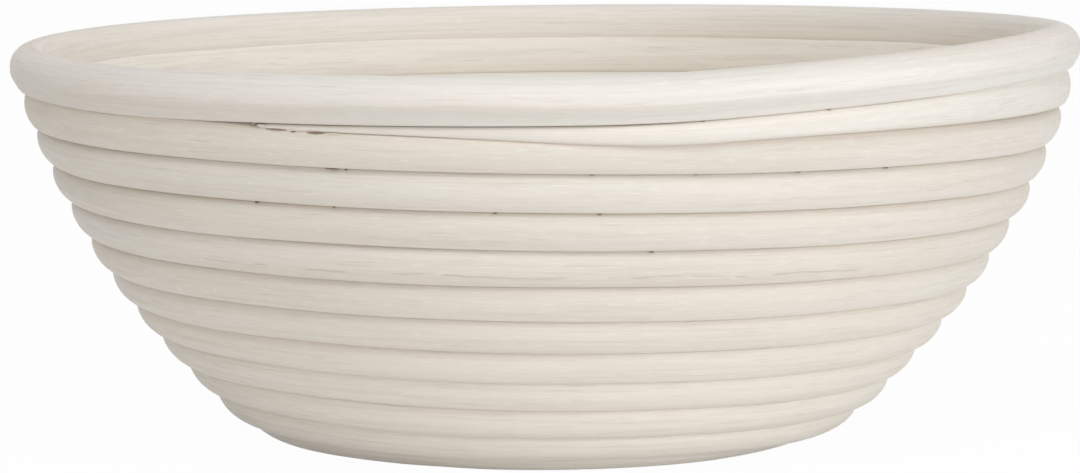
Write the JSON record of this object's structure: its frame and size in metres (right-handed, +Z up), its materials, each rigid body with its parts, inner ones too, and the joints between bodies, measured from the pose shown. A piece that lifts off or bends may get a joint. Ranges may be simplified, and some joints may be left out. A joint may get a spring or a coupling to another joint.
{
  "type": "rattan proofing basket",
  "caption": "Round coiled-cane basket in which bread dough proves: flat spiral base, flaring coiled wall, thicker cane rim, turns held by steel brads",
  "frame": {"origin": "on the table under the middle of the base", "axes": "+Z up out of the mouth, -Y towards the viewer, where the pared end of the coil lies a little left of the middle"},
  "size_m": [0.2193, 0.2194, 0.0847],
  "materials": {
    "coil_rattan": "bare peeled rattan core, satin, fine long fibres",
    "rim_rattan": "bare peeled rattan core, satin, fine long fibres",
    "brad_steel": "plain drawn wire"
  },
  "bodies": {
    "root": {"base_cane": "coil_rattan", "base_pin_01": "brad_steel", "base_pin_02": "brad_steel", "base_pin_03": "brad_steel", "base_pin_04": "brad_steel", "base_pin_05": "brad_steel", "lower_wall_cane": "coil_rattan", "rim_hoop": "rim_rattan", "rim_pin_01": "brad_steel", "rim_pin_02": "brad_steel", "rim_pin_03": "brad_steel", "rim_pin_04": "brad_steel", "rim_pin_05": "brad_steel", "upper_wall_cane": "coil_rattan", "wall_pin_01": "brad_steel", "wall_pin_02": "brad_steel", "wall_pin_03": "brad_steel", "wall_pin_04": "brad_steel", "wall_pin_05": "brad_steel", "wall_pin_06": "brad_steel", "wall_pin_07": "brad_steel", "wall_pin_08": "brad_steel", "wall_pin_09": "brad_steel", "wall_pin_10": "brad_steel", "wall_pin_11": "brad_steel", "wall_pin_12": "brad_steel", "wall_pin_13": "brad_steel", "wall_pin_14": "brad_steel", "wall_pin_15": "brad_steel", "wall_pin_16": "brad_steel", "wall_pin_17": "brad_steel", "wall_pin_18": "brad_steel", "wall_pin_19": "brad_steel", "wall_pin_20": "brad_steel", "wall_pin_21": "brad_steel", "wall_pin_22": "brad_steel", "wall_pin_23": "brad_steel", "wall_pin_24": "brad_steel", "wall_pin_25": "brad_steel", "wall_pin_26": "brad_steel", "wall_pin_27": "brad_steel", "wall_pin_28": "brad_steel", "wall_pin_29": "brad_steel", "wall_pin_30": "brad_steel", "wall_pin_31": "brad_steel"}
  },
  "joints": []
}
